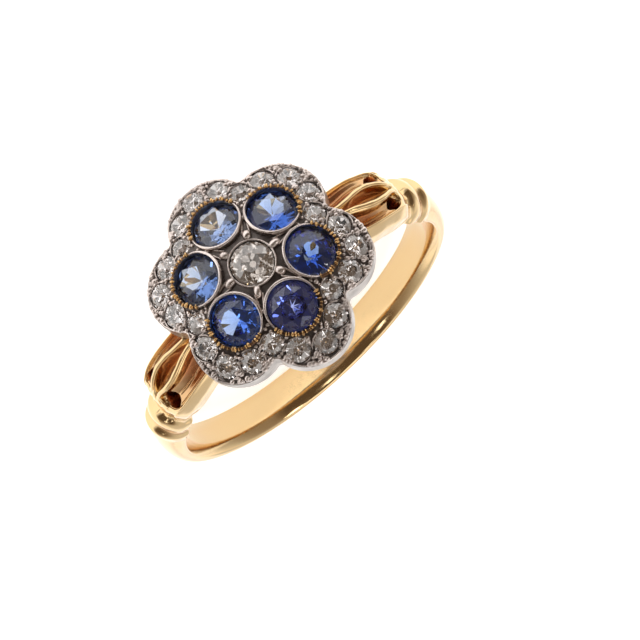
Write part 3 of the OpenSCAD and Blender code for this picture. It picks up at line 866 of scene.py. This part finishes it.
def single_cut(d, table, crown, girdle, pavilion, culet, n=8, wobble=0.0, seed=0):
    """Small old cut: one row of mains above and below the girdle."""
    g = np.random.default_rng(seed)
    q = np.arange(n) * 2 * math.pi / n + g.normal(0, wobble, n)
    e = np.concatenate([q, (np.roll(q, -1) + 2 * math.pi * (np.arange(n) == n - 1) + q) / 2]).reshape(2, n).T.ravel()
    ring = lambda rad, ang, z: np.stack([rad * np.cos(ang), rad * np.sin(ang), np.full(len(ang), z)], 1)
    pts = np.concatenate([ring(table, q, crown), ring(1.0, e, 0.0), ring(1.0, e, -girdle), ring(culet, q, -girdle - pavilion)])
    pts[:, :2] *= d / 2
    pts[:n, :2] *= 1 + g.normal(0, wobble * 0.8, (n, 1))
    pts[:n, :2] += g.normal(0, wobble * d * 0.12, 2)
    a, b, c, h = 0, n, 3 * n, 5 * n
    tri, quad, many = [], [], [[a + k for k in range(n)], [h + k for k in range(n - 1, -1, -1)]]
    for k in range(n):
        k1 = (k + 1) % n
        g0, g1, g2 = b + 2 * k, b + 2 * k + 1, b + (2 * k + 2) % (2 * n)
        tri += [[a + k, g0, g1], [a + k, g1, a + k1], [a + k1, g1, g2]]
        h0, h1, h2 = g0 + 2 * n, g1 + 2 * n, g2 + 2 * n
        quad += [[g0, h0, h1, g1], [g1, h1, h2, g2]]
        tri += [[h + k, h1, h0], [h + k, h + k1, h1], [h + k1, h2, h1]]
    return pts, [np.array(tri), np.array(quad), np.array(many)]


def set_stone(name, node, frame_, sink, spec, material, spin, tilt=(0.0, 0.0)):
    pts, faces = (single_cut if "n" in spec[1] else cut_stone)(*spec[0], **spec[1])
    a = math.radians(spin)
    turn = np.array([[math.cos(a), math.sin(a), 0], [-math.sin(a), math.cos(a), 0], [0, 0, 1]])
    pts = pts @ turn
    ax, ay = (math.radians(x) for x in tilt)
    rx = np.array([[1, 0, 0], [0, math.cos(ax), math.sin(ax)], [0, -math.sin(ax), math.cos(ax)]])
    ry = np.array([[math.cos(ay), 0, -math.sin(ay)], [0, 1, 0], [math.sin(ay), 0, math.cos(ay)]])
    pts = pts @ rx @ ry + np.array([0, 0, -sink])
    piece = add_piece(name, put(pts, frame_), faces, material, smooth=False)
    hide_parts(node)
    return piece


set_stone("centre_diamond_cut", "centre_diamond", dome_frame(0, 0), 0.08,
          ((CENTRE_D - 0.01, 0.46, 0.40, 0.05, 0.86, 0.16), {"wobble": 0.05, "seed": 3}), CENTRE_DIAMOND, 11.0)
SAP_TABLE = [0.56, 0.60, 0.52, 0.58, 0.54, 0.34]
for i in range(6):
    tab = SAP_TABLE[i]
    set_stone("sapphire_%d_cut" % (i + 1), "sapphire_%d" % (i + 1), dome_frame(30 + 60 * i, SAPPHIRE_POLAR), 0.13,
              ((SAPPHIRE_D - 0.01, tab, 0.34, 0.06, 0.86, 0.06 if tab > 0.4 else 0.12), {"wobble": 0.06, "seed": 20 + i, "lower": 0.7}),
              SAPPHIRE[i], float(rng.uniform(0, 45)), tuple(rng.uniform(-2, 2, 2)))
for k, (az, pol, d) in enumerate(stones):
    node = "border_diamond_%02d" % (k + 1)
    tab = float(rng.uniform(0.40, 0.54))
    set_stone(node + "_cut", node, dome_frame(az, pol), 0.05,
              ((d - 0.01, tab, float(rng.uniform(0.20, 0.25)), 0.035, float(rng.uniform(0.42, 0.47)), float(rng.uniform(0.04, 0.09))),
               {"wobble": 0.09, "seed": 100 + k, "n": (7, 8, 6, 8)[k % 4]}),
              DIAMOND, float(rng.uniform(0, 45)), tuple(rng.uniform(-2.5, 2.5, 2)))

# ---------------------------------------------------------------- floor and light
mat, nt, p = nodes_of("pale_floor")
p.inputs["Roughness"].default_value = 0.9
p.inputs["Specular IOR Level"].default_value = 0.1
p.inputs["Emission Color"].default_value = (1.0, 1.0, 1.0, 1.0)
where = nt.nodes.new("ShaderNodeTexCoord")
split = nt.nodes.new("ShaderNodeSeparateXYZ")
nt.links.new(where.outputs["Object"], split.inputs[0])
# painted shade: the floor greys out well in front of the ring, so the metal reflects a dark floor there
near = remap(nt, split.outputs["Y"], -0.050, -0.033, 0.12, 1.0, True)
# painted light: the floor glows to wash out the ring's shadow on it, most strongly near the ring, less far behind it
# and little far in front
glow = maths(nt, "MULTIPLY", near, remap(nt, split.outputs["Y"], 0.014, 0.042, 0.46, 0.32, True))
nt.links.new(glow, p.inputs["Emission Strength"])
paper = mix_colour(nt, remap(nt, noise(nt, 30.0, 2.0), 0.3, 0.7, 0.0, 1.0), (0.93, 0.93, 0.93, 1.0), (0.945, 0.945, 0.945, 1.0))
nt.links.new(mix_colour(nt, near, (0.42, 0.42, 0.42, 1.0), paper), p.inputs["Base Color"])
mesh = bpy.data.meshes.new("floor")
mesh.from_pydata([(-4, -4, 0), (4, -4, 0), (4, 4, 0), (-4, 4, 0)], [], [(0, 1, 2, 3)])
mesh.materials.append(mat)
floor = bpy.data.objects.new("floor", mesh)
bpy.context.scene.collection.objects.link(floor)

scene = bpy.context.scene
tent = bpy.data.worlds.new("tent")
tent.use_nodes = True
scene.world = tent
nt = tent.node_tree
nt.nodes.clear()
out = nt.nodes.new("ShaderNodeOutputWorld")
back = nt.nodes.new("ShaderNodeBackground")
tc = nt.nodes.new("ShaderNodeTexCoord")


def toward(direction, inner, outer_, value):
    """A patch of the tent round a direction: value inside, 0 outside; the angles are in degrees."""
    d = np.asarray(direction, float)
    d = d / np.linalg.norm(d)
    dot = nt.nodes.new("ShaderNodeVectorMath")
    dot.operation = "DOT_PRODUCT"
    nt.links.new(tc.outputs["Generated"], dot.inputs[0])
    dot.inputs[1].default_value = [float(x) for x in d]
    return remap(nt, dot.outputs["Value"], math.cos(math.radians(outer_)), math.cos(math.radians(inner)), 0.0, value, True)


cam_dir = world(CAM_AT)
cam_dir = cam_dir / np.linalg.norm(cam_dir)
level = 0.34
patches = [
    ((0.05, 1.0, 0.15), 45, 100, 0.42),
    (cam_dir, 47, 63, -0.22),
    ((0.05, 0.40, 1.0), 12, 30, 0.85),
    ((-0.75, 0.55, 0.45), 8, 24, 0.25),
    # small lamps that sparkle in the stones
    ((-0.38, -0.12, 0.92), 4, 7, 3.2),
    ((0.36, -0.30, 0.88), 3, 6, 3.2),
    ((0.10, 0.02, 1.0), 4, 7, 2.6),
    ((-0.15, -0.62, 0.78), 3, 5, 3.2),
]
value = None
for direction, a, b, amount in patches:
    piece_value = toward(direction, a, b, amount)
    value = piece_value if value is None else maths(nt, "ADD", value, piece_value)
# a brighter strip low down behind the ring
apart = nt.nodes.new("ShaderNodeSeparateXYZ")
nt.links.new(tc.outputs["Generated"], apart.inputs[0])
low_down = remap(nt, apart.outputs["Z"], 0.16, 0.34, 1.0, 0.0, True)
value = maths(nt, "ADD", value, maths(nt, "MULTIPLY", low_down, toward((0.15, 1.0, 0.1), 45, 72, 0.60)))
value = maths(nt, "MAXIMUM", maths(nt, "ADD", value, level), 0.03)
nt.links.new(value, back.inputs["Strength"])
warm = remap(nt, value, 0.12, 0.62, 1.0, 0.0, True)
nt.links.new(mix_colour(nt, warm, (1.0, 0.985, 0.965, 1.0), (1.0, 0.74, 0.53, 1.0)), back.inputs["Color"])
nt.links.new(back.outputs["Background"], out.inputs["Surface"])


def area(name, at, size, power, colour=(1, 1, 1), aim=(0, 0, 0.005)):
    light = bpy.data.lights.new(name, "AREA")
    light.shape = "RECTANGLE"
    light.size, light.size_y = size
    light.energy = power
    light.color = colour
    o = bpy.data.objects.new(name, light)
    scene.collection.objects.link(o)
    at, aim = np.array(at, float), np.array(aim, float)
    z = (at - aim) / np.linalg.norm(at - aim)
    x = np.cross([0, 0, 1.0], z)
    x = x / np.linalg.norm(x) if np.linalg.norm(x) > 1e-6 else np.array([1.0, 0, 0])
    y = np.cross(z, x)
    m = np.eye(4)
    m[:3, 0], m[:3, 1], m[:3, 2], m[:3, 3] = x, y, z, at
    o.matrix_world = Matrix(m.tolist())
    return o


area("key", (-0.22, -0.10, 0.30), (0.07, 0.05), 0.07, (1.0, 0.985, 0.96))
area("fill", (0.26, -0.20, 0.20), (0.05, 0.07), 0.035, (0.97, 0.985, 1.0))
# lights only the floor, without showing in the metal or the stones
front = area("front", (0.0, -0.26, 0.12), (0.24, 0.16), 0.90, (1.0, 0.995, 0.99))
front.visible_glossy = False
front.visible_transmission = False

scene.view_settings.view_transform = "Standard"
scene.view_settings.look = "None"
scene.view_settings.exposure = 0.0
scene.cycles.max_bounces = 24
scene.cycles.glossy_bounces = 10
scene.cycles.transmission_bounces = 20
scene.cycles.sample_clamp_indirect = 8.0
